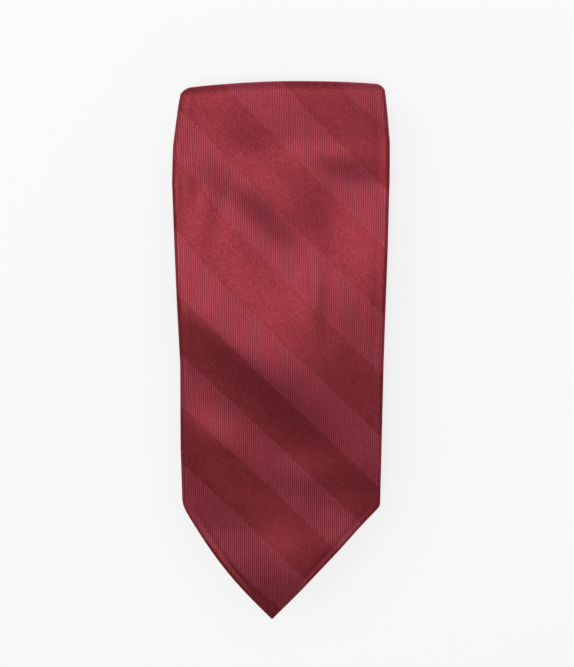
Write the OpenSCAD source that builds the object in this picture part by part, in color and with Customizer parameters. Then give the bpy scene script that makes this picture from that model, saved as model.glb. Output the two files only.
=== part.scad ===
// Silk necktie folded flat for display: seven leaves joined by six folds.
// Leaf 1 is the blade, face up on top. Leaf 7 is the tail, at the bottom.
// +Y runs to the top fold, +Z up, and the origin is the middle of the underside.
// Every second leaf lies face down, as the folding turns it over.

/* [Blade] */
// Width of the blade at its hips
blade_w = 92; // [84:1:96]
// Width of the blade where it turns over the top fold
blade_top_w = 90; // [84:1:96]
// Distance from the blade's point to its hips
blade_point = 57; // [50:1:60]
// How far the blade's point sits to the side of the middle line
point_shift = -4.5; // [-5:0.5:5]
// Length of the folded tie, from the blade's point to the top fold
folded_len = 246; // [240:1:256]

/* [Taper] */
// Width at the second fold
second_fold_w = 62; // [56:1:64]
// Width at the third fold
third_fold_w = 46; // [42:1:52]
// Width of the neck, from the fourth fold to the fifth
neck_w = 35; // [30:1:38]
// Width at the sixth fold
sixth_fold_w = 40; // [36:1:44]
// Width of the tail at its hips
tail_w = 46; // [42:1:50]
// Distance from the tail's point to its hips
tail_point = 26; // [20:1:32]

/* [Leaves] */
// Straight run of each leaf under the blade
leaf_run = 200; // [196:1:204]
// Thickness of one leaf, with silk on both faces and interlining between
leaf_t = 2.3; // [2.1:0.1:2.3]
// Height from one leaf to the next
leaf_pitch = 2.6; // [2.6:0.1:3]
// Height from the second leaf to the blade, with room for the keeper loop
blade_pitch = 4.7; // [4.6:0.1:5.2]

/* [Cloth] */
// Thickness of the silk
silk_t = 0.4; // [0.3:0.05:0.45]
// Thickness of the wool interlining
liner_t = 1.1; // [0.9:0.1:1.2]
// Thickness of the lining that backs each pointed end
tipping_t = 0.18; // [0.1:0.02:0.18]
// Width of the hem turned over around each point
hem_w = 9; // [7:1:12]
// Gap between the two back edges, closed by the slip stitches
seam_gap = 1; // [0.8:0.1:1.4]
// Distance from the blade's point to where its back edges meet
blade_opening = 135; // [120:1:145]
// Distance from the tail's point to where its back edges meet
tail_opening = 80; // [70:1:90]
// Distance along a panel join that the 45 degree slant covers, per mm of width
bias_slope = 1; // [0.9:0.05:1]

/* [Trims] */
// Length of the keeper loop, across the blade
loop_len = 48; // [40:1:56]
// Width of the keeper loop, along the blade
loop_w = 11; // [8:1:14]
// Thickness of the keeper loop
loop_t = 0.6; // [0.5:0.05:0.7]
// Gap under the keeper loop
loop_gap = 0.6; // [0.5:0.05:0.7]
// Distance from the blade's point to the keeper loop
loop_at = 158; // [150:1:162]
// Length of the blank woven label, across the blade
label_len = 52; // [40:1:56]
// Width of the blank woven label, along the blade
label_w = 20; // [14:1:22]
// Thickness of either label
label_t = 0.25; // [0.15:0.05:0.3]
// Width of the care label
care_w = 14; // [10:1:18]
// Length of the care label
care_len = 22; // [16:1:24]
// Thickness of the sewing thread
thread_t = 0.3; // [0.2:0.05:0.3]
// Distance from one slip stitch to the next
stitch_pitch = 10; // [8:1:14]

/* [Hidden] */

cut = 1;            // how far a cutting shape runs past what it cuts
slot_over = 0.05;   // the same, where a cut stays inside a fold's thickness
liner_margin = 0.1; // clearance between the interlining and the silk around it
leaves = 7;
top_leaf_z = (leaves - 2) * leaf_pitch + blade_pitch;

// Every fold is half a ring. Its middle radius follows from the heights that it joins.
function leaf_z(n) = n == 1 ? top_leaf_z : (leaves - n) * leaf_pitch;
function fold_z(f) = (leaf_z(f) + leaf_z(f + 1) + leaf_t) / 2;
function fold_r(f) = (leaf_z(f) - leaf_z(f + 1)) / 2;
function at_back(f) = f % 2 == 1;     // odd folds are at the +Y end
function face_up(n) = n % 2 == 1;     // odd leaves lie face up

blade_tip_y = -folded_len / 2;
back_y = folded_len / 2 - fold_r(1) - leaf_t / 2;
front_y = back_y - leaf_run;
function fold_y(f) = at_back(f) ? back_y : front_y;

fold_w = [blade_top_w, second_fold_w, third_fold_w, neck_w, neck_w, sixth_fold_w];

silk_red = [0.55, 0.16, 0.22];
liner_cream = [0.88, 0.85, 0.78];
tipping_red = [0.42, 0.1, 0.14];
thread_red = [0.5, 0.12, 0.17];
label_black = [0.1, 0.1, 0.11];
label_white = [0.92, 0.92, 0.9];

// Outline of a leaf between two folds. It runs on past both ends by over.
function run_plan(w_back, w_front, inset, over) = [
    [w_front / 2 - inset, front_y - over], [w_back / 2 - inset, back_y + over],
    [inset - w_back / 2, back_y + over], [inset - w_front / 2, front_y - over]
];

// Outline of a pointed end, drawn in the sense "distance from the point": each edge of the
// point is moved in by inset, and so are the two sides. It reaches as far as reach.
function pointed_plan(w_hips, w_end, point, shift, inset, reach, len) =
    let (
        left = w_hips / 2 + shift, right = w_hips / 2 - shift,
        l_rise = inset * sqrt(left * left + point * point) / left,
        r_rise = inset * sqrt(right * right + point * point) / right,
        tip_dx = (l_rise - r_rise) / (point / left + point / right),
        tip_y = l_rise - point * tip_dx / left,
        end_half = (w_hips + (w_end - w_hips) * (reach - point) / (len - point)) / 2 - inset,
        half = w_hips / 2 - inset
    ) [
        [shift + tip_dx, tip_y],
        [half, point * (half - shift) / right + r_rise],
        [end_half, reach], [-end_half, reach],
        [-half, point * (half + shift) / left + l_rise]
    ];

// The same outline in the model's own place: the blade's point faces -Y, the tail's faces +Y.
function blade_plan(inset, reach) = [
    for (p = pointed_plan(blade_w, blade_top_w, blade_point, point_shift, inset, reach,
                          back_y - blade_tip_y))
        [p[0], blade_tip_y + p[1]]
];
function tail_plan(inset, reach) = [
    for (p = pointed_plan(tail_w, sixth_fold_w, tail_point, 0, inset, reach, leaf_run))
        [p[0], back_y - p[1]]
];
function leaf_plan(n, inset, over) =
    n == 1 ? blade_plan(inset, back_y - blade_tip_y + over) :
    n == leaves ? tail_plan(inset, leaf_run + over) :
    at_back(n) ? run_plan(fold_w[n - 1], fold_w[n - 2], inset, over) :
    run_plan(fold_w[n - 2], fold_w[n - 1], inset, over);

module plate(plan, z0, z1) {
    translate([0, 0, z0]) linear_extrude(z1 - z0) polygon(plan);
}

// Places a leaf's own height, from its underside up, at the leaf's level.
module at_leaf(n) {
    translate([0, 0, leaf_z(n)]) children();
}

// Turns a height measured from the back of the cloth into one from the leaf's underside.
function from_back(n, h) = face_up(n) ? h : leaf_t - h;
module back_plate(n, plan, h0, h1) {
    z0 = from_back(n, h0);
    z1 = from_back(n, h1);
    plate(plan, min(z0, z1), max(z0, z1));
}

module seam_slot(n, y0, y1) {
    slot = [[-seam_gap / 2, y0], [seam_gap / 2, y0], [seam_gap / 2, y1], [-seam_gap / 2, y1]];
    back_plate(n, slot, -cut, silk_t);
}

// The two back edges part towards each point, and leave a kite-shaped opening.
function opening_plan(points, apex_y) = [points[0], points[1], [0, apex_y], points[4]];

// A leaf's silk: face, side turns and two back flaps around an open middle.
module silk_leaf(n) {
    at_leaf(n) difference() {
        plate(leaf_plan(n, 0, 0), 0, leaf_t);
        plate(leaf_plan(n, silk_t, cut), silk_t, leaf_t - silk_t);
        if (n == 1) {
            seam_slot(n, blade_tip_y + blade_opening - cut, back_y + cut);
            back_plate(n, opening_plan(blade_plan(hem_w, blade_opening),
                                       blade_tip_y + blade_opening), -cut, silk_t);
        } else if (n == leaves) {
            seam_slot(n, front_y - cut, back_y - tail_opening + cut);
            back_plate(n, opening_plan(tail_plan(hem_w, tail_opening),
                                       back_y - tail_opening), -cut, silk_t);
        } else seam_slot(n, front_y - cut, back_y + cut);
    }
}

// The part of a leaf on one side of a slanting panel join: side is 1 for +Y, -1 for -Y.
module beside_join(n, side) {
    reach = blade_w;
    join_y = (front_y + back_y) / 2;
    far_y = join_y + side * (leaf_run + reach);
    near = [[-reach, join_y - bias_slope * reach], [reach, join_y + bias_slope * reach]];
    intersection() {
        silk_leaf(n);
        at_leaf(n) plate(concat(near, [[reach, far_y], [-reach, far_y]]), -cut, leaf_t + cut);
    }
}

// Half a ring about a line along X, from radius r0 to r1, on the outer side of a fold.
module half_ring(f, w, r0, r1) {
    side = at_back(f) ? 0 : -1;
    size = 2 * (r1 + cut);
    translate([0, fold_y(f), fold_z(f)]) intersection() {
        difference() {
            rotate([0, 90, 0]) cylinder(h = w, r = r1, center = true, $fn = 64);
            rotate([0, 90, 0]) cylinder(h = w + 2 * cut, r = r0, center = true, $fn = 64);
        }
        translate([-w / 2 - cut, side * size, -size / 2]) cube([w + 2 * cut, size, size]);
    }
}

// A fold's silk. The back faces inwards where the leaf above it lies face up.
module silk_fold(f) {
    r0 = fold_r(f) - leaf_t / 2;
    r1 = fold_r(f) + leaf_t / 2;
    w = fold_w[f - 1];
    back_r = face_up(f) ? r0 : r1 - silk_t;
    difference() {
        half_ring(f, w, r0, r1);
        half_ring_cutter(f, w - 2 * silk_t, r0 + silk_t, r1 - silk_t);
        half_ring_cutter(f, seam_gap, back_r - slot_over, back_r + silk_t + slot_over);
    }
}

// A whole ring, which cuts cleanly through both ends of a half ring.
module half_ring_cutter(f, w, r0, r1) {
    translate([0, fold_y(f), fold_z(f)]) rotate([0, 90, 0]) difference() {
        cylinder(h = w, r = r1, center = true, $fn = 64);
        cylinder(h = w + 2 * cut, r = r0, center = true, $fn = 64);
    }
}

module panel_leaf(n) { color(silk_red) silk_leaf(n); }
module panel_fold(f) { color(silk_red) silk_fold(f); }
module panel_part(n, side) { color(silk_red) beside_join(n, side); }

liner_low = (leaf_t - liner_t) / 2;

module interlining_leaf(n) {
    color(liner_cream) at_leaf(n)
        plate(leaf_plan(n, silk_t + liner_margin, 0), liner_low, leaf_t - liner_low);
}

module interlining_fold(f) {
    color(liner_cream) half_ring(f, fold_w[f - 1] - 2 * (silk_t + liner_margin),
                                 fold_r(f) - liner_t / 2, fold_r(f) + liner_t / 2);
}

// Short thread bars that bridge the gap between the back edges.
module slip_stitches(n) {
    y0 = n == 1 ? blade_tip_y + blade_opening + stitch_pitch / 2 : front_y + stitch_pitch / 2;
    y1 = n == leaves ? back_y - tail_opening - stitch_pitch / 2 : back_y - stitch_pitch / 2;
    color(thread_red) at_leaf(n) for (y = [y0 : stitch_pitch : y1])
        back_plate(n, [[-seam_gap / 2, y], [seam_gap / 2, y + thread_t],
                       [seam_gap / 2, y + 2 * thread_t], [-seam_gap / 2, y + thread_t]],
                   0.02, 0.02 + thread_t);
}

// The lining behind a point shows in the opening and tucks in under the silk all round.
tuck = 12;
tipping_h = silk_t + 0.01;
module blade_tipping() {
    color(tipping_red) at_leaf(1)
        back_plate(1, blade_plan(2 * silk_t, blade_opening + tuck), tipping_h,
                   tipping_h + tipping_t);
}
module tail_tipping() {
    color(tipping_red) at_leaf(leaves)
        back_plate(leaves, tail_plan(2 * silk_t, tail_opening + tuck), tipping_h,
                   tipping_h + tipping_t);
}

// A box on the blade's back: x and y are its middle, h0 and h1 its heights off the silk.
module on_blade_back(x, y, w, l, h0, h1) {
    at_leaf(1) translate([x - w / 2, blade_tip_y + y - l / 2, -h1]) cube([w, l, h1 - h0]);
}

tack_len = 7;
tack_w = 1.2;
module blade_bar_tack() {
    color(thread_red) on_blade_back(0, blade_opening + tack_w, tack_len, tack_w, 0, thread_t);
}
module tail_bar_tack() {
    y = back_y - tail_opening - tack_w;
    color(thread_red) at_leaf(leaves)
        back_plate(leaves, [[-seam_gap / 2, y - tack_w], [seam_gap / 2, y - tack_w],
                            [seam_gap / 2, y], [-seam_gap / 2, y]], 0.02, silk_t - 0.02);
}

// The keeper loop is a flat bridge sewn down at both ends, for the tail to pass under.
loop_end = 4;
module keeper_loop() {
    color(silk_red) {
        on_blade_back(0, loop_at, loop_len, loop_w, loop_gap, loop_gap + loop_t);
        for (side = [-1, 1])
            on_blade_back(side * (loop_len - loop_end) / 2, loop_at, loop_end, loop_w,
                          0, loop_gap);
    }
}
module keeper_loop_stitches() {
    top = loop_gap + loop_t;
    color(thread_red) for (side = [-1, 1])
        on_blade_back(side * (loop_len - loop_end) / 2, loop_at, thread_t * 2,
                      loop_w - 2, top, top + thread_t / 2);
}

label_at = loop_at + loop_w / 2 + label_w / 2 + 4;
module woven_label() {
    color(label_black) on_blade_back(0, label_at, label_len, label_w, 0, label_t);
}

care_at = label_at + label_w / 2 + care_len / 2 + 4;
care_x = -12;
module care_label() {
    color(label_white) on_blade_back(care_x, care_at, care_w, care_len, 0, label_t);
}

module label_stitches() {
    edge = 1.5;
    color(thread_red) {
        for (sx = [-1, 1], sy = [-1, 1])
            on_blade_back(sx * (label_len / 2 - edge), label_at + sy * (label_w / 2 - edge),
                          2, thread_t, label_t, label_t + thread_t / 2);
        on_blade_back(care_x, care_at + care_len / 2 - edge, care_w - 2, thread_t,
                      label_t, label_t + thread_t / 2);
    }
}

panel_leaf(1);  // blade_panel_leaf_1
panel_fold(1);  // blade_panel_fold_1
panel_leaf(2);  // blade_panel_leaf_2
panel_fold(2);  // blade_panel_fold_2
panel_leaf(3);  // blade_panel_leaf_3
panel_fold(3);  // blade_panel_fold_3
panel_part(4, 1);  // blade_panel_leaf_4
panel_part(4, -1);  // neck_panel_leaf_4
panel_fold(4);  // neck_panel_fold_4
panel_leaf(5);  // neck_panel_leaf_5
panel_fold(5);  // neck_panel_fold_5
panel_part(6, 1);  // neck_panel_leaf_6
panel_part(6, -1);  // tail_panel_leaf_6
panel_fold(6);  // tail_panel_fold_6
panel_leaf(7);  // tail_panel_leaf_7
interlining_leaf(1);  // interlining_leaf_1
interlining_leaf(2);  // interlining_leaf_2
interlining_leaf(3);  // interlining_leaf_3
interlining_leaf(4);  // interlining_leaf_4
interlining_leaf(5);  // interlining_leaf_5
interlining_leaf(6);  // interlining_leaf_6
interlining_leaf(7);  // interlining_leaf_7
interlining_fold(1);  // interlining_fold_1
interlining_fold(2);  // interlining_fold_2
interlining_fold(3);  // interlining_fold_3
interlining_fold(4);  // interlining_fold_4
interlining_fold(5);  // interlining_fold_5
interlining_fold(6);  // interlining_fold_6
slip_stitches(1);  // slip_stitches_leaf_1
slip_stitches(2);  // slip_stitches_leaf_2
slip_stitches(3);  // slip_stitches_leaf_3
slip_stitches(4);  // slip_stitches_leaf_4
slip_stitches(5);  // slip_stitches_leaf_5
slip_stitches(6);  // slip_stitches_leaf_6
slip_stitches(7);  // slip_stitches_leaf_7
blade_tipping();
tail_tipping();
blade_bar_tack();
tail_bar_tack();
keeper_loop();
keeper_loop_stitches();
woven_label();
care_label();
label_stitches();
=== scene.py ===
import math

import bpy
import numpy as np
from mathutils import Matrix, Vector


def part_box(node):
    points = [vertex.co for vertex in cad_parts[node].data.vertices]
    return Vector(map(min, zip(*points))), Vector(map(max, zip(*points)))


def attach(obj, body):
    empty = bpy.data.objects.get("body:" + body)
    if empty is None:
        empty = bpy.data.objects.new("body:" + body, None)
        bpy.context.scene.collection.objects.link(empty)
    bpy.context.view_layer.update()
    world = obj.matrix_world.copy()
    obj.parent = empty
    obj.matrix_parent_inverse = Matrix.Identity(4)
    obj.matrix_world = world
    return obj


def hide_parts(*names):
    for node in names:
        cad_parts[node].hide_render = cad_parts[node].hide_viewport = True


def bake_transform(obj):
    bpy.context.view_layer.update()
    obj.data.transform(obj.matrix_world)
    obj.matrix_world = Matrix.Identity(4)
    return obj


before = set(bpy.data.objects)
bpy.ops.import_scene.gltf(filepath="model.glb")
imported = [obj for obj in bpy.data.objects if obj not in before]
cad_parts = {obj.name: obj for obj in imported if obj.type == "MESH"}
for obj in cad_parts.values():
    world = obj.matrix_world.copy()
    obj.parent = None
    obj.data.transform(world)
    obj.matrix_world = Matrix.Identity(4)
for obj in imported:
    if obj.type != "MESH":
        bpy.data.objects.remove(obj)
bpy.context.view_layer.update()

# A silk necktie folded flat into seven leaves. Lengths are in millimetres until a mesh is made.
# "s" is the distance along the tie from the blade's point, "x" the place across it, and "n" the
# height off the middle of the cloth towards its face. Leaf 1 is the blade, leaf 7 the tail.

MM = 0.001
LEAVES = 7
BODIES = ["blade", "second_leaf", "third_leaf", "fourth_leaf", "fifth_leaf", "sixth_leaf",
          "tail_leaf"]
LEAF_NODES = {
    1: ["blade_panel_leaf_1"], 2: ["blade_panel_leaf_2"], 3: ["blade_panel_leaf_3"],
    4: ["blade_panel_leaf_4", "neck_panel_leaf_4"], 5: ["neck_panel_leaf_5"],
    6: ["neck_panel_leaf_6", "tail_panel_leaf_6"], 7: ["tail_panel_leaf_7"],
}
FOLD_NODES = {1: "blade_panel_fold_1", 2: "blade_panel_fold_2", 3: "blade_panel_fold_3",
              4: "neck_panel_fold_4", 5: "neck_panel_fold_5", 6: "tail_panel_fold_6"}


def box_mm(*nodes):
    """The box around some CAD nodes, as its lowest and highest corners in millimetres."""
    corners = np.array([[list(c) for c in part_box(n)] for n in nodes]) / MM
    return corners[:, 0].min(axis=0), corners[:, 1].max(axis=0)


# ---------------------------------------------------------------- the tie's path, from the frame

LEAF_BOX = {n: box_mm(*nodes) for n, nodes in LEAF_NODES.items()}
FOLD_BOX = {f: box_mm(node) for f, node in FOLD_NODES.items()}
LEAF_T = LEAF_BOX[1][1][2] - LEAF_BOX[1][0][2]
LEAF_Z = {n: (low[2] + high[2]) / 2 for n, (low, high) in LEAF_BOX.items()}
TIP_Y = LEAF_BOX[1][0][1]
FRONT_Y, BACK_Y = LEAF_BOX[2][0][1], LEAF_BOX[2][1][1]
FOLD_R = {f: (LEAF_Z[f] - LEAF_Z[f + 1]) / 2 for f in FOLD_BOX}
HIP_HALF = LEAF_BOX[1][1][0]
TAIL_HALF = LEAF_BOX[7][1][0]
FOLD_HALF = {f: high[0] for f, (low, high) in FOLD_BOX.items()}


def face_up(n):
    """Whether leaf n lies with its face up."""
    return n % 2 == 1


def at_back(f):
    """Whether fold f is at the far end, where the top fold is."""
    return f % 2 == 1


def leaf_span(n):
    """Where leaf n starts and ends along the tie."""
    start = sum((BACK_Y - TIP_Y if k == 1 else BACK_Y - FRONT_Y) + math.pi * FOLD_R[k]
                for k in range(1, n))
    return start, start + (BACK_Y - TIP_Y if n == 1 else BACK_Y - FRONT_Y)


SPAN = {n: leaf_span(n) for n in LEAF_NODES}
TIE_LENGTH = SPAN[LEAVES][1]


def path(s):
    """The middle of the cloth at s: y, z, and the direction its face looks, as (ny, nz)."""
    y, z = np.zeros_like(s), np.zeros_like(s)
    ny, nz = np.zeros_like(s), np.ones_like(s)
    for n, (s0, s1) in SPAN.items():
        way = 1 if face_up(n) else -1
        here = (s >= s0 - 1e-6) & (s <= s1 + 1e-6)
        if n == 1:
            here |= s < s0
        if n == LEAVES:
            here |= s > s1
        first = TIP_Y if n == 1 else (FRONT_Y if face_up(n) else BACK_Y)
        y[here] = first + way * (s[here] - s0)
        z[here] = LEAF_Z[n]
        nz[here] = way
        if n == LEAVES:
            break
        f = n  # each leaf but the last is followed by the fold of the same number
        r = FOLD_R[f]
        arc = (s > s1 + 1e-6) & (s < s1 + math.pi * r - 1e-6)
        angle = math.pi / 2 - (s[arc] - s1) / r
        side = 1 if at_back(f) else -1
        out = 1 if face_up(f) else -1
        y[arc] = (BACK_Y if at_back(f) else FRONT_Y) + side * r * np.cos(angle)
        z[arc] = (LEAF_Z[f] + LEAF_Z[f + 1]) / 2 + r * np.sin(angle)
        ny[arc] = out * side * np.cos(angle)
        nz[arc] = out * np.sin(angle)
    return y, z, ny, nz


def smooth(t):
    """0 below 0, 1 above 1, and an S curve between."""
    t = np.clip(t, 0, 1)
    return t * t * (3 - 2 * t)


def soft_min(a, b, k):
    """The smaller of a and b, with a corner rounded over about k."""
    return -k * np.logaddexp(-a / k, -b / k)


# ---------------------------------------------------------------- widths and heights of the cloth

POINT_SHIFT = -4.5      # the blade's point sits to the left of the middle
BLADE_POINT = 57.0
POINT_BULGE = 3.0       # the left side of the point is bowed out, the right one straight
TAIL_POINT = 26.0
BLADE_OPENING = 135.0   # from the blade's point to where its back edges meet
TAIL_OPENING = 80.0
HEM = 9.0
TOP_PRESS, FOLD_PRESS = 0.12, 0.3   # how much thinner the tie is at the top fold and the others
TOP_FOLD_S = SPAN[1][1] + math.pi * FOLD_R[1] / 2
# How far the blade's sides reach, as (distance from the point, left, right).
BLADE_SIDES = [(0, 46.0, 46.0), (85, 46.0, 45.8), (125, 45.0, 45.6), (180, 45.8, 45.9),
               (205, 45.8, 45.9), (222, 44.9, 45.4), (233, 43.3, 44.3), (240, 42.1, 43.4),
               (243.5, 41.2, 42.8), (TOP_FOLD_S, 38.8, 41.0), (TOP_FOLD_S + 6, 42.0, 43.2),
               (TOP_FOLD_S + 22, 42.0, 42.0)]


def side_halves(s):
    """How far the tie reaches to each side, away from its points."""
    places, left, right = (list(column) for column in zip(*BLADE_SIDES))
    for f in range(2, LEAVES):
        for at in (SPAN[f][1], SPAN[f + 1][0]):
            places.append(at)
            left.append(FOLD_HALF[f])
            right.append(FOLD_HALF[f])
    for at in (TIE_LENGTH - TAIL_POINT, TIE_LENGTH):
        places.append(at)
        left.append(TAIL_HALF)
        right.append(TAIL_HALF)
    return np.interp(s, places, left), np.interp(s, places, right)


def halves(s):
    """How far the cloth reaches to the left and to the right of the middle line."""
    left, right = side_halves(s)
    along = np.clip(s / BLADE_POINT, 0, None)
    bulge = POINT_BULGE * np.sin(math.pi * np.clip(along, 0, 1))
    blade_left = -POINT_SHIFT + along * (HIP_HALF + POINT_SHIFT) + bulge
    blade_right = POINT_SHIFT + along * (HIP_HALF - POINT_SHIFT)
    tail = (TIE_LENGTH - s) * TAIL_HALF / TAIL_POINT
    left = soft_min(soft_min(left, blade_left, 0.9), tail, 0.5)
    right = soft_min(soft_min(right, blade_right, 0.4), tail, 0.5)
    return left, right


def half_thickness(s):
    """Half the leaf's thickness: it is pressed thinner at the folds."""
    t = np.full_like(s, LEAF_T / 2)
    for f in range(1, LEAVES):
        middle = SPAN[f][1] + math.pi * FOLD_R[f] / 2
        press = TOP_PRESS if f == 1 else FOLD_PRESS
        reach = math.pi * FOLD_R[f] / 2
        t *= 1 - press * smooth(1 - (np.abs(s - middle) - reach) / 14)
    return t


def opening_half(s):
    """Half the gap between the back edges, which part towards each point."""

    def kite(d, point, apex, half):
        tip, widest = HEM * 1.6, point + HEM * 0.4
        grow = np.clip((d - tip) / (widest - tip), 0, 1)
        close = np.clip((apex - d) / (apex - widest), 0, 1)
        return np.maximum((half - HEM) * np.minimum(grow, close ** 1.15), 0)
    return (kite(s, BLADE_POINT, BLADE_OPENING, HIP_HALF)
            + kite(TIE_LENGTH - s, TAIL_POINT, TAIL_OPENING, TAIL_HALF))


# Soft ridges and hollows in the blade, as (x, y, turn in degrees, length, width towards the
# point, width towards the fold, height).
RIPPLES = [
    (-10, 4, -43, 37, 10, 24, 1.9),
    (-6, -32, -41, 38, 13, 13, -1.2),
    (-33, 77, -10, 8, 20, 14, -1.9),
    (-16, 83, -20, 14, 10, 30, 0.7),
    (2, 70, -48, 15, 9, 30, 0.6),
    (-10, 58, -45, 20, 14, 11, -1.3),
    (26, 95, -15, 18, 9, 26, 0.8),
    (30, 79, -15, 22, 24, 12, -2.0),
    (28, 114, -30, 7, 6, 5, 0.5),
    (15, 35, 90, 14, 3.6, 3.6, 0.8),
    (-17, 60, -45, 14, 9, 8, 0.4),
    (2, 27, -45, 16, 9, 8, 0.5),
    (-27, -34, -45, 14, 8, 8, 0.6),
    (16, -52, -30, 13, 10, 12, 0.9),
    (-24, -62, -50, 14, 12, 12, 0.4),
]
POINT_LIFT = 4.8        # how far the blade's point stands off the leaves below


def blade_drape(x, s):
    """How the blade lies: in soft ripples, swelling by the top fold, its point lifting."""
    y = s + TIP_Y
    height = (0.7 * np.exp(-((y - 82) / 22) ** 2)
              + 0.5 * smooth((y - FRONT_Y) / 20) + POINT_LIFT * smooth((FRONT_Y + 25 - y) / 52)
              + 0.16 * np.sin((y + 1.6 * x) / 9.0) + 0.18 * np.sin((0.8 * y - x) / 12.0 + 2.1))
    for px, py, turn, length, below, above, rise in RIPPLES:
        c, d = math.cos(math.radians(turn)), math.sin(math.radians(turn))
        along, over = (x - px) * c + (y - py) * d, (y - py) * c - (x - px) * d
        over = over / np.where(over < 0, below, above)
        height = height + rise * np.exp(-(along / length) ** 2 - over ** 2)
    return height * (1 - smooth((s - (SPAN[1][1] - 26)) / 26))


def leaf_drape(x, s):
    """The inner leaves only ripple a little, within the gaps between them."""
    return 0.06 * np.sin(s / 11 + 1.3 * np.sin(s / 37)) * np.cos(x / 9)


def drape(x, s):
    """How far the cloth at x and s stands off its flat place, towards its face."""
    first = SPAN[2][0]
    return np.where(s < SPAN[1][1], blade_drape(x, s),
                    np.where(s > first, leaf_drape(x, s) * smooth((s - first) / 20), 0.0))


def fold_arch(x, s):
    """The top fold runs slightly out of square, lower to the left than to the right."""
    low = np.where(x < 8, 3.0 * ((x - 8) / 50) ** 2, 1.2 * ((x - 8) / 34) ** 2)
    return low * (1 - smooth((np.abs(s - TOP_FOLD_S) - 6) / 45))


def place(s, x, n):
    """Points in metres, in the frame's own axes, for cloth at s, x and n."""
    y, z, ny, nz = path(s)
    n = n + drape(x, s)
    y = y - fold_arch(x, s)
    return np.stack([x, y + n * ny, z + n * nz], axis=-1) * MM


def lay_shift(x, s):
    """How far the pattern is drawn along the tie by the way the blade has been pulled flat."""
    y = s + TIP_Y
    pull = (6.5 * np.exp(-((x + 46) / 17) ** 2 - ((y - 85) / 36) ** 2)
            - 5.0 * np.exp(-((x - 28) / 16) ** 2 - ((y - 118) / 14) ** 2))
    ease = -1.9 * np.cos((x + y - 15) / 27) - 0.3
    return (pull + ease) * (1 - smooth((s - TOP_FOLD_S) / 30))


# ---------------------------------------------------------------- meshes

WEAVE_UV_MM = 100       # millimetres of cloth to one unit of the "weave" layer


def make_object(name, points, faces, cloth):
    """A smooth mesh that keeps each point's place on the cloth, for the materials to read:
    whole in "cloth", and across and along in the layer "weave" that directs the gloss."""
    mesh = bpy.data.meshes.new(name)
    mesh.from_pydata(points.tolist(), [], faces)
    mesh.polygons.foreach_set("use_smooth", [True] * len(mesh.polygons))
    layer = mesh.attributes.new("cloth", "FLOAT_VECTOR", "POINT")
    cloth = np.asarray(cloth, np.float32)
    layer.data.foreach_set("vector", cloth.ravel())
    corners = np.empty(len(mesh.loops), np.int32)
    mesh.loops.foreach_get("vertex_index", corners)
    weave = mesh.uv_layers.new(name="weave")
    weave.data.foreach_set("uv", (cloth[corners, :2] / WEAVE_UV_MM).ravel())
    mesh.update()
    obj = bpy.data.objects.new(name, mesh)
    bpy.context.scene.collection.objects.link(obj)
    return obj


def grid_faces(rows, cols, first=0, flip=False, wrap=False):
    """Quads over a grid of points, stored row by row."""
    i, j = np.meshgrid(np.arange(rows - 1), np.arange(cols if wrap else cols - 1),
                       indexing="ij")
    k = (j + 1) % cols
    quads = np.stack([i * cols + j, i * cols + k, (i + 1) * cols + k, (i + 1) * cols + j],
                     axis=-1).reshape(-1, 4) + first
    if flip:
        quads = quads[:, ::-1]
    return quads.tolist()


def grid_normals(points):
    """The direction that each point of a grid faces."""
    du = np.gradient(points, axis=0)
    dv = np.gradient(points, axis=1)
    normal = np.cross(dv, du)
    length = np.linalg.norm(normal, axis=-1, keepdims=True)
    return normal / np.maximum(length, 1e-12)


def thick_sheet(name, points, thickness, cloth):
    """A closed sheet: its outer face is the grid of points, its inner face lies inside it."""
    rows, cols = points.shape[:2]
    inner = points - grid_normals(points) * thickness * MM
    count = rows * cols
    faces = grid_faces(rows, cols, flip=True) + grid_faces(rows, cols, first=count)
    rim = ([(0, j) for j in range(cols)] + [(i, cols - 1) for i in range(1, rows)]
           + [(rows - 1, j) for j in range(cols - 2, -1, -1)]
           + [(i, 0) for i in range(rows - 2, 0, -1)])
    loop = [i * cols + j for i, j in rim]
    faces += [[a, b, b + count, a + count] for a, b in zip(loop, loop[1:] + loop[:1])]
    both = np.concatenate([points.reshape(-1, 3), inner.reshape(-1, 3)])
    coords = np.concatenate([cloth.reshape(-1, 3)] * 2)
    return make_object(name, both, faces, coords)


def closed_tube(name, rings, cloth):
    """A closed solid through a grid of rings, with its two ends filled."""
    rows, cols = rings.shape[:2]
    faces = grid_faces(rows, cols, wrap=True)
    faces += [list(range(cols))[::-1], [(rows - 1) * cols + j for j in range(cols)]]
    return make_object(name, rings.reshape(-1, 3), faces, cloth.reshape(-1, 3))


# ---------------------------------------------------------------- the silk shell

SILK_T = 0.3
ROLL = 2.3              # how far in from each side the silk starts to roll over
SEAM_HALF = 0.01        # half the gap at the back seam
SEAM_TUCK = 0.32        # how deep the back edges tuck in at the seam
END_INSET = 0.35        # how far from each point the silk's mesh starts
JOIN_DIP = 0.28         # how deep the silk is drawn in at a seam between panels
JOIN_DIP_W = 0.8        # and how far from the seam
BACK_COLS, ROLL_COLS, FRONT_COLS = 14, 10, 56
BLADE_STEP, LEAF_STEP, WOOL_STEP = 1.0, 1.5, 2.0   # from one row of points to the next
FOLD_STEP = 0.12


def section_columns():
    """Each column of the shell's section as (zone, place in it): the silk runs from the left
    back edge out round the left side, over the face and round the right side to the back."""
    back = [("left_back", t) for t in np.linspace(0, 1, BACK_COLS)[:-1]]
    roll = [("left_roll", t) for t in np.linspace(0, 1, ROLL_COLS)[:-1]]
    front = [("front", t) for t in np.linspace(0, 1, FRONT_COLS)]
    mirror = {"left_back": "right_back", "left_roll": "right_roll"}
    other = [(mirror[zone], t) for zone, t in (back + roll)[::-1]]
    return back + roll + front + other


COLUMNS = section_columns()


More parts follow.
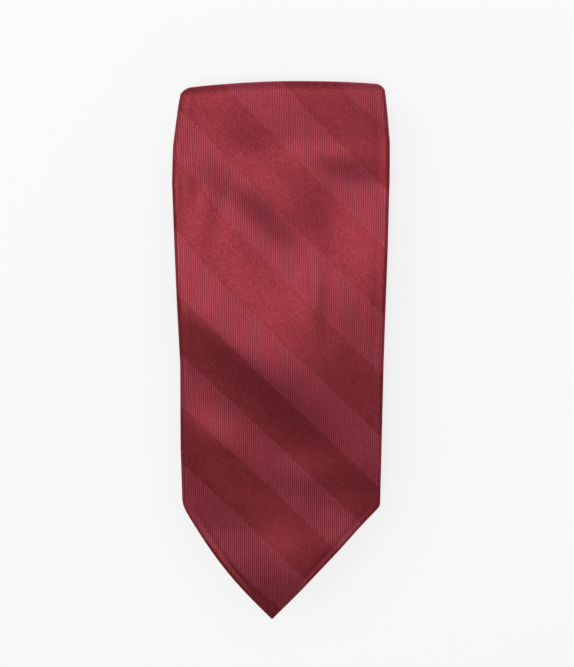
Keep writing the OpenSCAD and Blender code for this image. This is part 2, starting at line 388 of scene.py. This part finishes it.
def shell_section(s):
    """x, n and the silk's own cross coordinate for a grid of stations s (rows by columns)."""
    left, right = halves(s)
    h = half_thickness(s) * np.minimum(1, (left + right) / 9) ** 0.7
    roll = np.minimum(ROLL, 0.24 * (left + right))
    opening = np.minimum(opening_half(s), (left + right) / 2 - 1.3 * roll) + SEAM_HALF
    opening = np.maximum(opening, SEAM_HALF)
    x, n, across = np.zeros_like(s), np.zeros_like(s), np.zeros_like(s)
    turn = 1.35 * (roll + h)  # the length of silk in one rolled side
    middle = (right - left) / 2
    for j, (zone, t) in enumerate(COLUMNS):
        curl, height = roll[:, j], h[:, j]
        if zone == "front":
            x[:, j] = -(left[:, j] - curl) + t * (left[:, j] + right[:, j] - 2 * curl)
            n[:, j] = height
            across[:, j] = x[:, j]
            continue
        side = -1 if zone.startswith("left") else 1
        edge = left[:, j] if side < 0 else right[:, j]
        if zone.endswith("roll"):
            angle = math.pi * (t - 0.5)
            x[:, j] = side * (edge - curl + curl * math.cos(angle) ** 0.9)
            n[:, j] = height * math.sin(angle)
            across[:, j] = side * (edge - curl + turn[:, j] * (1 - t))
        else:
            inner = opening[:, j] + side * middle[:, j]
            x[:, j] = side * (inner + (edge - curl - inner) * t)
            tuck = math.exp(-(t * 9) ** 2)
            n[:, j] = -height + SEAM_TUCK * tuck
            across[:, j] = side * (edge - curl + turn[:, j] + (edge - curl - side * x[:, j]))
    return x, n, across


def front_relief(x, s, n):
    """Fine swells of the silk on the face, fading out at the sides."""
    left, right = halves(s)
    inside = np.clip(np.minimum(x + left, right - x) / 6, 0, 1)
    swell = 0.10 * np.sin(s / 6.3 + x / 15) + 0.12 * np.sin(x / 5.1 + s / 29)
    groove = (-0.26 * np.exp(-((x + left - 4.4) / 1.2) ** 2)
              - 0.16 * np.exp(-((right - x - 4.0) / 1.5) ** 2))
    wide = smooth((left + right - 20) / 20)
    strength = wide * (1 - 0.75 * smooth((s - SPAN[1][1] + 4) / 8))
    return np.where(n > 0, strength * (inside * swell * 0.5 + groove), 0.0)


def stations(s0, s1, step):
    """Where the rows of points go from s0 to s1: step apart on a leaf, but close in a fold."""
    ends = [s0] + [at for f in FOLD_R for at in (SPAN[f][1], SPAN[f + 1][0]) if s0 < at < s1]
    rows = []
    for a, b in zip(ends, ends[1:] + [s1]):
        folded = any(SPAN[f][1] - 0.1 < a and b < SPAN[f + 1][0] + 0.1 for f in FOLD_R)
        count = max(2, int(round((b - a) / (FOLD_STEP if folded else step))))
        rows.append(np.linspace(a, b, count, endpoint=False))
    return np.concatenate(rows + [[s1]])


def silk_piece(name, s0, s1, step, shear0=0.0, shear1=0.0):
    """The silk from s0 to s1, with its girth, length and area. A shear of 1 or -1 slants that
    end across the tie at 45 degrees and draws it in, as at a seam that joins two panels."""
    marks = stations(s0, s1, step)
    base = marks[:, None] * np.ones((1, len(COLUMNS)))
    t = (base - s0) / (s1 - s0)
    _, _, across = shell_section(base)
    s = base + (shear0 * (1 - t) + shear1 * t) * across
    x, n, across = shell_section(s)
    n = n + front_relief(x, s, n)
    start, stop = s0 + shear0 * across, s1 + shear1 * across
    for shear, end in ((shear0, start), (shear1, stop)):
        if shear:
            n = n - np.sign(n) * JOIN_DIP * np.exp(-((s - end) / JOIN_DIP_W) ** 2)
    points = place(s, x, n)
    cloth = np.stack([across, s - lay_shift(across, s), np.zeros_like(s)], axis=-1)
    obj = thick_sheet(name, points, SILK_T, cloth)
    area = float(np.trapz(np.abs(across[:, -1] - across[:, 0]), marks))
    girth = float(np.abs(across[:, -1] - across[:, 0]).max())
    return obj, girth, s1 - s0, area


# ---------------------------------------------------------------- materials

def new_material(name):
    mat = bpy.data.materials.new(name)
    mat.use_nodes = True
    return mat, mat.node_tree.nodes, mat.node_tree.links


def math_node(nodes, links, op, a, b=None, c=None):
    node = nodes.new("ShaderNodeMath")
    node.operation = op
    for socket, value in zip(node.inputs, (a, b, c)):
        if value is None:
            continue
        if isinstance(value, (int, float)):
            socket.default_value = value
        else:
            links.new(value, socket)
    return node.outputs[0]


def mix_color(nodes, links, factor, a, b, blend="MIX"):
    node = nodes.new("ShaderNodeMix")
    node.data_type = "RGBA"
    node.blend_type = blend
    for index, value in ((0, factor), (6, a), (7, b)):
        socket = node.inputs[index]
        if hasattr(value, "is_output"):
            links.new(value, socket)
        elif isinstance(value, (int, float)):
            socket.default_value = value
        else:
            socket.default_value = (*value, 1)
    return node.outputs[2]


STRIPE_PERIOD = 53.3    # along the tie
STRIPE_EDGE = 192.2     # a ribbed stripe's upper edge, on the middle line
RIB_SHARE = 0.476
RIB_PITCH = 0.93
WEFT_PITCH = 0.42       # the threads that cross the ribs
FLOAT_W = 0.27          # one float of the satin weave
FLOAT_L = 0.55


def silk_material():
    mat, nodes, links = new_material("patterned_silk")
    shader = nodes["Principled BSDF"]
    cloth = nodes.new("ShaderNodeAttribute")
    cloth.attribute_name = "cloth"
    parts = nodes.new("ShaderNodeSeparateXYZ")
    links.new(cloth.outputs["Vector"], parts.inputs[0])
    x, s = parts.outputs[0], parts.outputs[1]

    def calc(op, *values):
        return math_node(nodes, links, op, *values)

    # The stripe's edge steps from one warp rib to the next.
    rib_at = calc("DIVIDE", x, RIB_PITCH)
    rib_number = calc("ROUND", rib_at)
    jitter = nodes.new("ShaderNodeTexWhiteNoise")
    jitter.noise_dimensions = "1D"
    links.new(rib_number, jitter.inputs["W"])
    step = calc("MULTIPLY_ADD", rib_number, RIB_PITCH, calc("MULTIPLY", jitter.outputs[0], 0.7))
    stripe_at = calc("DIVIDE", calc("ADD", calc("ADD", step, s), -STRIPE_EDGE), STRIPE_PERIOD)
    in_stripe = calc("FRACT", stripe_at)
    ribbed = calc("GREATER_THAN", in_stripe, 1 - RIB_SHARE)

    # A rib is round on top, with a narrow groove on each side. Its roundness drives the bump and also
    # paints shade: the colour is painted darker in the grooves and lighter on the tops.
    wave = calc("COSINE", calc("MULTIPLY", rib_at, 2 * math.pi))
    rib_round_for_shade_and_bump = calc("POWER", calc("MULTIPLY_ADD", wave, 0.5, 0.5), 0.55)
    weft = calc("MULTIPLY_ADD", calc("COSINE", calc("MULTIPLY", s, 2 * math.pi / WEFT_PITCH)), 0.5, 0.5)

    # Each float of the weave varies a little at random in colour and bump. On the satin a few floats
    # are painted brighter, as a painted glint.
    column = calc("FLOOR", calc("DIVIDE", x, FLOAT_W))
    row = calc("FLOOR", calc("ADD", calc("DIVIDE", s, FLOAT_L), calc("MULTIPLY", column, 0.4)))
    float_at = nodes.new("ShaderNodeCombineXYZ")
    links.new(column, float_at.inputs[0])
    links.new(row, float_at.inputs[1])
    each = nodes.new("ShaderNodeTexWhiteNoise")
    each.noise_dimensions = "2D"
    links.new(float_at.outputs[0], each.inputs["Vector"])
    speck = each.outputs["Value"]
    cloud = nodes.new("ShaderNodeTexNoise")
    cloud.inputs["Scale"].default_value = 0.05
    cloud.inputs["Detail"].default_value = 2.0
    links.new(cloth.outputs["Vector"], cloud.inputs["Vector"])

    # Painted glint: the few brightest satin floats get a lighter colour.
    satin_painted_glint = calc("POWER", speck, 5)
    satin = mix_color(nodes, links, satin_painted_glint, (0.208, 0.024, 0.032), (0.295, 0.049, 0.062))
    # Painted shade in the ribs' grooves and painted highlight on their round tops.
    rib_groove_painted_shade = mix_color(nodes, links, speck, (0.14, 0.015, 0.025), (0.20, 0.025, 0.037))
    rib_top_painted_highlight = mix_color(nodes, links, speck, (0.29, 0.040, 0.057), (0.37, 0.058, 0.080))
    ribs = mix_color(nodes, links, rib_round_for_shade_and_bump, rib_groove_painted_shade, rib_top_painted_highlight)
    color = mix_color(nodes, links, ribbed, satin, ribs)
    tone = calc("MULTIPLY_ADD", cloud.outputs["Fac"], 0.3, 0.85)
    gray = nodes.new("ShaderNodeCombineColor")
    for k in range(3):
        links.new(tone, gray.inputs[k])
    links.new(mix_color(nodes, links, 1.0, color, gray.outputs[0], "MULTIPLY"),
              shader.inputs["Base Color"])

    # The satin's long threads shine more than the ribs. The weave directs the gloss of both.
    links.new(calc("MULTIPLY_ADD", ribbed, -0.12, 0.72), shader.inputs["Metallic"])
    shader.inputs["Roughness"].default_value = 0.42
    shader.inputs["Specular IOR Level"].default_value = 0.2
    shader.inputs["Specular Tint"].default_value = (0.9, 0.28, 0.34, 1)
    shader.inputs["Anisotropic"].default_value = 0.5
    tangent = nodes.new("ShaderNodeTangent")
    tangent.direction_type = "UV_MAP"
    tangent.uv_map = "weave"
    links.new(tangent.outputs[0], shader.inputs["Tangent"])

    height = calc("ADD", calc("MULTIPLY", rib_round_for_shade_and_bump, ribbed),
                  calc("ADD", calc("MULTIPLY", speck, 0.12),
                       calc("MULTIPLY", calc("MULTIPLY", weft, ribbed), 0.15)))
    bump = nodes.new("ShaderNodeBump")
    bump.inputs["Strength"].default_value = 0.4
    bump.inputs["Distance"].default_value = 0.1 * MM
    links.new(height, bump.inputs["Height"])
    links.new(bump.outputs[0], shader.inputs["Normal"])
    return mat


def plain_cloth(name, low, high, roughness, weave, sheen=0.2, bump_mm=0.05):
    """A plain woven cloth: two sets of fine threads over each other, with uneven colour."""
    mat, nodes, links = new_material(name)
    shader = nodes["Principled BSDF"]
    where = nodes.new("ShaderNodeAttribute")
    where.attribute_name = "cloth"
    parts = nodes.new("ShaderNodeSeparateXYZ")
    links.new(where.outputs["Vector"], parts.inputs[0])

    def calc(op, *values):
        return math_node(nodes, links, op, *values)

    def thread_wave(axis):
        turn = calc("MULTIPLY", parts.outputs[axis], 2 * math.pi / weave)
        return calc("MULTIPLY_ADD", calc("SINE", turn), 0.5, 0.5)

    warp, woof = thread_wave(0), thread_wave(1)
    cloth = calc("MAXIMUM", calc("MULTIPLY", warp, calc("SUBTRACT", 1.0, woof)),
                 calc("MULTIPLY", woof, calc("SUBTRACT", 1.0, warp)))
    noise = nodes.new("ShaderNodeTexNoise")
    noise.inputs["Scale"].default_value = 0.9
    noise.inputs["Detail"].default_value = 4
    links.new(where.outputs["Vector"], noise.inputs["Vector"])
    amount = calc("MULTIPLY_ADD", cloth, 0.45, calc("MULTIPLY", noise.outputs["Fac"], 0.6))
    links.new(mix_color(nodes, links, amount, low, high), shader.inputs["Base Color"])
    shader.inputs["Roughness"].default_value = roughness
    shader.inputs["Sheen Weight"].default_value = sheen
    shader.inputs["Specular IOR Level"].default_value = 0.25
    bump = nodes.new("ShaderNodeBump")
    bump.inputs["Strength"].default_value = 0.4
    bump.inputs["Distance"].default_value = bump_mm * MM
    links.new(amount, bump.inputs["Height"])
    links.new(bump.outputs[0], shader.inputs["Normal"])
    return mat


SILK = silk_material()
WOOL = plain_cloth("wool_interlining", (0.55, 0.50, 0.41), (0.78, 0.74, 0.64), 0.95, 1.4, 0.5, 0.2)
LINING = plain_cloth("tipping_lining", (0.085, 0.006, 0.012), (0.16, 0.013, 0.024), 0.5, 0.3, 0.0)
THREAD = plain_cloth("sewing_thread", (0.17, 0.02, 0.035), (0.34, 0.05, 0.08), 0.5, 0.25)
LABEL = plain_cloth("woven_label_satin", (0.018, 0.012, 0.014), (0.05, 0.035, 0.038), 0.4, 0.3)
CARE = plain_cloth("care_label_satin", (0.70, 0.69, 0.66), (0.88, 0.87, 0.85), 0.45, 0.3)

# ---------------------------------------------------------------- leaves and folds


def finish_piece(obj, mat, slot, body, *nodes):
    """Gives a piece its material, puts it on its body when one is named, and hides the CAD nodes it
    stands for.
    """
    obj.data.materials.append(mat)
    if body:
        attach(obj, body)
    if nodes:
        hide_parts(*nodes)
    return obj


def declare_sheet(piece):
    """Takes the object out of a piece of silk or wool, which also carries its girth, length and area.
    """
    obj, girth, length, area = piece
    return obj


def fold_blend(obj, f, half=None):
    """Bakes a fold piece's place into its mesh; the bend itself comes from the tie's path."""
    half = half or FOLD_R[f] - (LEAF_T if f == 1 else (1 - FOLD_PRESS) * LEAF_T) / 2
    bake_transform(obj)


def join_station(n):
    """Where the slanting panel join crosses leaf n's middle line."""
    s0, s1 = SPAN[n]
    return (s0 + s1) / 2


def make_silk():
    """The three panels, leaf by leaf. The blade and its top fold are one piece of cloth."""
    s1 = SPAN[1][1] + math.pi * FOLD_R[1]
    blade = silk_piece("blade_and_top_fold", END_INSET, s1, BLADE_STEP)
    finish_piece(blade[0], SILK, "patterned_silk", None, "blade_panel_leaf_1", FOLD_NODES[1])
    fold_blend(blade[0], 1)
    declare_sheet(blade)
    for n in range(2, LEAVES + 1):
        s0, s1 = SPAN[n]
        s1 = min(s1, TIE_LENGTH - END_INSET)
        nodes = LEAF_NODES[n]
        if len(nodes) == 1:
            ends = [(nodes[0], s0, s1, 0.0, 0.0)]
        else:
            join = join_station(n)
            ends = [(nodes[0], s0, join, 0.0, -1.0), (nodes[1], join, s1, -1.0, 0.0)]
        for name, a, b, shear0, shear1 in ends:
            piece = silk_piece(name + "_silk", a, b, LEAF_STEP, shear0, shear1)
            finish_piece(piece[0], SILK, "patterned_silk", BODIES[n - 1], name)
            declare_sheet(piece)
        if n < LEAVES:
            start = SPAN[n][1]
            fold = silk_piece(FOLD_NODES[n] + "_silk", start, start + math.pi * FOLD_R[n],
                              FOLD_STEP)
            finish_piece(fold[0], SILK, "patterned_silk", None, FOLD_NODES[n])
            fold_blend(fold[0], n)
            declare_sheet(fold)


# ---------------------------------------------------------------- interlining

WOOL_HALF_T = 0.45      # half the wool's thickness
WOOL_COLS = 36
WOOL_INSET = 1.2        # how far from each point the wool starts
WOOL_LEAN = 0.3         # how far towards the face it leans in some of the folds


def wool_piece(name, s0, s1, step, lean=0.0):
    """A flat strip of wool with round edges, inside the silk. With a lean it thins and
    leans by that many millimetres towards the face."""
    marks = stations(s0, s1, step)
    over = np.linspace(-1, 1, WOOL_COLS)
    place_in = np.concatenate([over, over[::-1][1:-1]])[None, :]
    side = np.concatenate([np.ones(WOOL_COLS), -np.ones(WOOL_COLS - 2)])[None, :]
    s = marks[:, None] * np.ones_like(place_in)
    left, right = halves(s)
    margin = np.minimum(1.8, 0.15 * (left + right))
    press = (half_thickness(s) / (LEAF_T / 2)) ** 2
    h = WOOL_HALF_T * press * np.minimum(1, (left + right) / 12)
    x = (right - left) / 2 + ((left + right) / 2 - margin) * place_in
    deep = np.sin(math.pi * (s - s0) / (s1 - s0)) ** 0.5 if lean else 0.0
    n = side * h * (1 - 0.45 * deep) * np.sqrt(1 - np.abs(place_in) ** 10) + lean * deep
    cloth = np.stack([x, s, n], axis=-1)
    obj = closed_tube(name, place(s, x, n), cloth)
    width = (left + right - 2 * margin)[:, 0]
    return obj, float(width.max()), s1 - s0, float(np.trapz(width, marks))


def make_interlining():
    """The wool, in one strip for each leaf and each fold."""
    for n in range(1, LEAVES + 1):
        s0, s1 = SPAN[n]
        s0 = WOOL_INSET if n == 1 else s0
        s1 = s1 - WOOL_INSET if n == LEAVES else s1
        piece = wool_piece(f"wool_leaf_{n}", s0, s1, WOOL_STEP)
        finish_piece(piece[0], WOOL, "wool_interlining", BODIES[n - 1], f"interlining_leaf_{n}")
        declare_sheet(piece)
        if n < LEAVES:
            arc = wool_piece(f"wool_fold_{n}", s1, s1 + math.pi * FOLD_R[n], FOLD_STEP,
                              0.0 if face_up(n) else WOOL_LEAN)
            finish_piece(arc[0], WOOL, "wool_interlining", None, f"interlining_fold_{n}")
            # Where the silk's face is inside the bend, the wool leans towards the face. At the back it
            # comes through the silk there, as two pale lines.
            fold_blend(arc[0], n, None if face_up(n) else FOLD_R[n] + WOOL_LEAN)
            declare_sheet(arc)


# ---------------------------------------------------------------- trims

BACK = LEAF_T / 2       # the back of the cloth lies this far from its middle
THREAD_SIDES = 6
SLIP_R, SEWING_R, LABEL_SEWING_R = 0.14, 0.13, 0.11    # radius of each thread
STITCH_SINK = 0.3       # how deep a stitch's ends go into the cloth
SLIP_HALF = 0.85        # half a slip stitch's reach across the seam
STITCH_PITCH = 5.0
TACK_HALF = 3.5
TACK_INSET = 1.2        # how far beyond its opening each bar tack is sewn
TIPPING_T = 0.12
TIPPING_INSET = 4.0     # how far from each point its tipping starts, and past the opening ends
LOOP_T = 0.6
LABEL_T = 0.22
LABEL_STITCH = 1.4
LABEL_STITCH_PITCH = 2.1


def tube(path_points, radius):
    """Points and faces of a thread along a path, in metres, with its cloth coordinates."""
    line = np.asarray(path_points, float)
    ahead = np.gradient(line, axis=0)
    ahead /= np.maximum(np.linalg.norm(ahead, axis=1, keepdims=True), 1e-12)
    up = np.array([0.0, 0.0, 1.0]) if abs(ahead[0][2]) < 0.9 else np.array([1.0, 0.0, 0.0])
    u = np.cross(ahead, up)
    u /= np.linalg.norm(u, axis=1, keepdims=True)
    v = np.cross(ahead, u)
    turn = np.linspace(0, 2 * math.pi, THREAD_SIDES, endpoint=False)
    fine = np.sqrt(np.sin(np.linspace(0.12, math.pi - 0.12, len(line))))[:, None, None]
    ring = (u[:, None] * np.cos(turn)[None, :, None] + v[:, None] * np.sin(turn)[None, :, None])
    points = line[:, None] + ring * radius * MM * fine
    faces = grid_faces(len(line), THREAD_SIDES, wrap=True)
    ends = np.arange(THREAD_SIDES)
    faces += [ends[::-1].tolist(), (ends + (len(line) - 1) * THREAD_SIDES).tolist()]
    run = np.concatenate([[0], np.cumsum(np.linalg.norm(np.diff(line, axis=0), axis=1))]) / MM
    cloth = np.stack(np.broadcast_arrays(radius * turn[None, :], run[:, None], 0.0), axis=-1)
    return points.reshape(-1, 3), faces, cloth.reshape(-1, 3)


def threads(name, paths, radius):
    """One object made of many short threads."""
    all_points, all_faces, all_cloth, first = [], [], [], 0
    for one in paths:
        points, faces, cloth = tube(one, radius)
        all_points.append(points)
        all_cloth.append(cloth)
        all_faces += [[k + first for k in face] for face in faces]
        first += len(points)
    return make_object(name, np.concatenate(all_points), all_faces, np.concatenate(all_cloth))


def stitch(x0, s0, x1, s1, depth, rise, count=9):
    """A thread from one place to another on the back, standing out a little between its ends.
    depth is how far the cloth's surface lies behind the middle of the cloth."""
    t = np.linspace(0, 1, count)
    bow = np.sin(math.pi * t) ** 0.6
    n = -(depth - STITCH_SINK + (STITCH_SINK + rise) * bow)
    return place(s0 + (s1 - s0) * t, x0 + (x1 - x0) * t, n)


def make_stitches():
    """Slip stitches close the back seam of every leaf, between the two openings."""
    for n in range(1, LEAVES + 1):
        s0 = SPAN[n][0] + 5 if n > 1 else BLADE_OPENING + 6
        s1 = SPAN[n][1] - 4 if n < LEAVES else TIE_LENGTH - TAIL_OPENING - 5
        paths = []
        for k, at in enumerate(np.arange(s0, s1, STITCH_PITCH)):
            lean = 0.45 + 0.12 * math.sin(2.3 * k)
            paths.append(stitch(-SLIP_HALF, at - lean, SLIP_HALF, at + lean, BACK, rise=0.06))
        piece = threads(f"slip_stitch_run_{n}", paths, SLIP_R)
        finish_piece(piece, THREAD, "sewing_thread", BODIES[n - 1], f"slip_stitches_leaf_{n}")


def make_tack(name, at, body, node):
    """A bar tack: threads laid side by side across the seam, bound by small ones over them."""
    paths = [stitch(-TACK_HALF, at + d, TACK_HALF, at + d * 0.9, BACK, rise=0.12, count=13)
             for d in np.linspace(-0.5, 0.5, 5)]
    for k, x in enumerate(np.linspace(-TACK_HALF + 0.3, TACK_HALF - 0.3, 17)):
        paths.append(stitch(x, at - 0.7, x + 0.2, at + 0.7, BACK, rise=0.3))
    finish_piece(threads(name, paths, SEWING_R), THREAD, "sewing_thread", body, node)


def flat_sheet(name, x0, x1, s0, s1, depth, thickness, rows, cols, hem, wave):
    """A thin sheet lying on the back of the cloth, with its ends turned under by hem."""
    t, c = np.linspace(0, 1, rows), np.linspace(0, 1, cols)
    s = (s0 + (s1 - s0) * t)[:, None] * np.ones((1, cols))
    x = (x0 + (x1 - x0) * c)[None, :] * np.ones((rows, 1))
    edge = np.minimum(x - x0, x1 - x)
    n = -(depth + thickness) * np.ones_like(s)
    if hem:
        n = n - thickness * 0.5 * (1 - smooth((edge - hem) / 0.5))
    n = n + wave * np.sin(x / 4.3 + s / 5) * np.sin(math.pi * t)[:, None] ** 0.5
    cloth = np.stack([x, s, 0 * s], axis=-1)
    # The far face is the sheet's outer one, so the grid runs across first.
    return thick_sheet(name, place(s, x, n)[:, ::-1], thickness, cloth[:, ::-1])


def make_tipping(name, s0, s1, body, node):
    """The lining inside a point: it fills the opening between the silk's turned-in edges."""
    rows, cols = 90, 40
    s = np.linspace(s0, s1, rows)[:, None] * np.ones((1, cols))
    left, right = halves(s)
    margin = np.minimum(2.4, 0.2 * (left + right))
    t = np.linspace(0, 1, cols)[None, :]
    x = -(left - margin) + (left + right - 2 * margin) * t
    n = -0.70 - 0.03 * np.sin(x / 3.1 + s / 7)
    cloth = np.stack([x, s, 0 * s], axis=-1)
    obj = thick_sheet(name, place(s, x, n)[:, ::-1], TIPPING_T, cloth[:, ::-1])
    finish_piece(obj, LINING, "tipping_lining", body, node)


def blade_s(y):
    """The distance along the tie of a place on the blade."""
    return y - TIP_Y


def make_keeper_loop():
    """A strip of the same silk across the blade's back, sewn down at both ends."""
    low, high = box_mm("keeper_loop")
    half_w, half_l = (high[1] - low[1]) / 2, high[0]
    at = blade_s((low[1] + high[1]) / 2)
    gap = high[2] - low[2] - LOOP_T
    rows, cols = 61, 24
    x = np.linspace(-half_l, half_l, rows)[:, None] * np.ones((1, cols))
    turn = np.linspace(0, 2 * math.pi, cols, endpoint=False)[None, :]
    c, d = np.cos(turn), np.sin(turn)
    across = np.sign(c) * np.abs(c) ** 0.25 * (half_w - 0.25 * np.cos(x * math.pi / half_l))
    lift = gap * smooth((half_l - 2.5 - np.abs(x)) / 4.0)
    bow = 0.12 * np.cos(x * math.pi / half_l / 2)
    outline = LOOP_T / 2 * np.sign(d) * np.abs(d) ** 0.6
    n = -(BACK + LOOP_T / 2 + 0.03 + lift + bow) + outline
    rings = place(at + across, x, n)
    # The strip is cut on the cross, so its stripes run nearly along it.
    cloth = np.stack([0.5 * x + across, 40 + 0.5 * x - across, n], axis=-1)
    loop = closed_tube("keeper_loop_band", rings, cloth)
    finish_piece(loop, SILK, "patterned_silk", BODIES[0], "keeper_loop")
    paths = []
    for side in (-1, 1):
        for k in range(4):
            start = at - half_w + 1.4 + k * 2.3
            paths.append(stitch(side * (half_l - 1.3), start, side * (half_l - 1.3), start + 1.5,
                                BACK + LOOP_T, rise=0.08))
    finish_piece(threads("keeper_loop_sewing", paths, SEWING_R), THREAD, "sewing_thread", BODIES[0],
                 "keeper_loop_stitches")


def make_labels():
    """Both labels, left blank. The wide one is hemmed, and sewn down at its two ends."""
    paths = []
    for node, mat, name, hem in (("woven_label", LABEL, "blank_woven_label", 3.0),
                                 ("care_label", CARE, "blank_care_label", 0.0)):
        low, high = box_mm(node)
        s0, s1 = blade_s(low[1]), blade_s(high[1])
        obj = flat_sheet(name, low[0], high[0], s0, s1, BACK + 0.02, LABEL_T, 24, 40, hem, 0.03)
        finish_piece(obj, mat, node + "_satin", BODIES[0], node)
        depth = BACK + 0.02 + LABEL_T * (1.5 if hem else 1)
        if hem:
            for x in (low[0] + 1.2, high[0] - 1.2):
                for at in np.arange(s0 + 1.0, s1 - 1.5, LABEL_STITCH_PITCH):
                    paths.append(stitch(x, at, x, at + LABEL_STITCH, depth, rise=0.07))
        else:
            for x in np.arange(low[0] + 0.8, high[0] - LABEL_STITCH, LABEL_STITCH_PITCH):
                paths.append(stitch(x, s1 - 1.2, x + LABEL_STITCH, s1 - 1.2, depth, rise=0.07))
    finish_piece(threads("label_sewing", paths, LABEL_SEWING_R), THREAD, "sewing_thread", BODIES[0],
                 "label_stitches")


# ---------------------------------------------------------------- camera, floor and light

CAMERA_TILT = 13.9      # degrees back from straight down, towards the top fold
CAMERA_RANGE = 359.0
CAMERA_AIM = (2.6, 16.4)
CAMERA_LENS = 51.2


def make_camera():
    camera = bpy.data.objects.new("camera", bpy.data.cameras.new("camera"))
    bpy.context.scene.collection.objects.link(camera)
    camera.data.sensor_fit = "HORIZONTAL"
    camera.data.sensor_width = 36
    camera.data.lens = CAMERA_LENS
    camera.data.clip_start = 0.01
    tilt = math.radians(CAMERA_TILT)
    aim = Vector((CAMERA_AIM[0], CAMERA_AIM[1], LEAF_BOX[1][1][2]))
    back = Vector((0, math.sin(tilt), math.cos(tilt)))
    camera.location = (aim + back * CAMERA_RANGE) * MM
    # The picture's up is +Y, tipped down with the camera.
    camera.rotation_euler = (-tilt, 0, 0)
    bpy.context.scene.camera = camera


def make_floor():
    """A seamless white ground, lit from below as on a light table, so shadows stay faint."""
    mesh = bpy.data.meshes.new("floor")
    mesh.from_pydata([(-40, -40, 0), (40, -40, 0), (40, 40, 0), (-40, 40, 0)], [], [(0, 1, 2, 3)])
    floor = bpy.data.objects.new("floor", mesh)
    bpy.context.scene.collection.objects.link(floor)
    mat, nodes, links = new_material("floor")
    shader = nodes["Principled BSDF"]
    shader.inputs["Base Color"].default_value = (0.36, 0.36, 0.36, 1)
    shader.inputs["Roughness"].default_value = 1.0
    shader.inputs["Specular IOR Level"].default_value = 0.0
    shader.inputs["Emission Color"].default_value = (1, 1, 1, 1)
    shader.inputs["Emission Strength"].default_value = 0.66
    mesh.materials.append(mat)


def area_light(name, place_m, aim_m, size, power):
    light = bpy.data.lights.new(name, "AREA")
    light.shape = "RECTANGLE"
    light.size, light.size_y = size
    light.energy = power
    obj = bpy.data.objects.new(name, light)
    bpy.context.scene.collection.objects.link(obj)
    obj.location = place_m
    obj.rotation_euler = (Vector(aim_m) - Vector(place_m)).to_track_quat("-Z", "Y").to_euler()


# Each lamp as (name, place, what it aims at, size, power), in metres and watts.
LAMPS = [
    ("key", (-0.08, 0.0, 1.3), (0, 0, 0), (0.55, 0.5), 5.0),
    ("side", (-0.9, 0.6, 0.9), (0, 0, 0), (0.8, 0.8), 2.5),
    ("back", (0.1, 0.9, 1.0), (0, 0.1, 0), (1.2, 1.0), 4.0),
]
WALL_LIGHT = 0.9
CEILING_LIGHT = 0.28


def make_light():
    for lamp in LAMPS:
        area_light(*lamp)
    world = bpy.data.worlds.new("studio")
    bpy.context.scene.world = world
    world.use_nodes = True
    nodes, links = world.node_tree.nodes, world.node_tree.links
    # A white studio: its walls are brighter than its ceiling.
    where = nodes.new("ShaderNodeTexCoord")
    parts = nodes.new("ShaderNodeSeparateXYZ")
    fade = nodes.new("ShaderNodeMapRange")
    links.new(where.outputs["Generated"], parts.inputs[0])
    links.new(parts.outputs[2], fade.inputs["Value"])
    fade.inputs["From Min"].default_value = 0.02
    fade.inputs["From Max"].default_value = 0.5
    fade.inputs["To Min"].default_value = WALL_LIGHT
    fade.inputs["To Max"].default_value = CEILING_LIGHT
    fade.interpolation_type = "SMOOTHSTEP"
    links.new(fade.outputs[0], nodes["Background"].inputs["Strength"])
    nodes["Background"].inputs["Color"].default_value = (1, 1, 1, 1)
    bpy.context.scene.view_settings.view_transform = "Standard"


make_camera()
make_floor()
make_light()
make_silk()
make_interlining()
make_stitches()
make_tack("blade_tack", BLADE_OPENING + TACK_INSET, BODIES[0], "blade_bar_tack")
make_tack("tail_tack", TIE_LENGTH - TAIL_OPENING - TACK_INSET, BODIES[-1], "tail_bar_tack")
make_tipping("blade_tipping_sheet", TIPPING_INSET, BLADE_OPENING + TIPPING_INSET, BODIES[0],
             "blade_tipping")
make_tipping("tail_tipping_sheet", TIE_LENGTH - TAIL_OPENING - TIPPING_INSET,
             TIE_LENGTH - TIPPING_INSET, BODIES[-1], "tail_tipping")
make_keeper_loop()
make_labels()
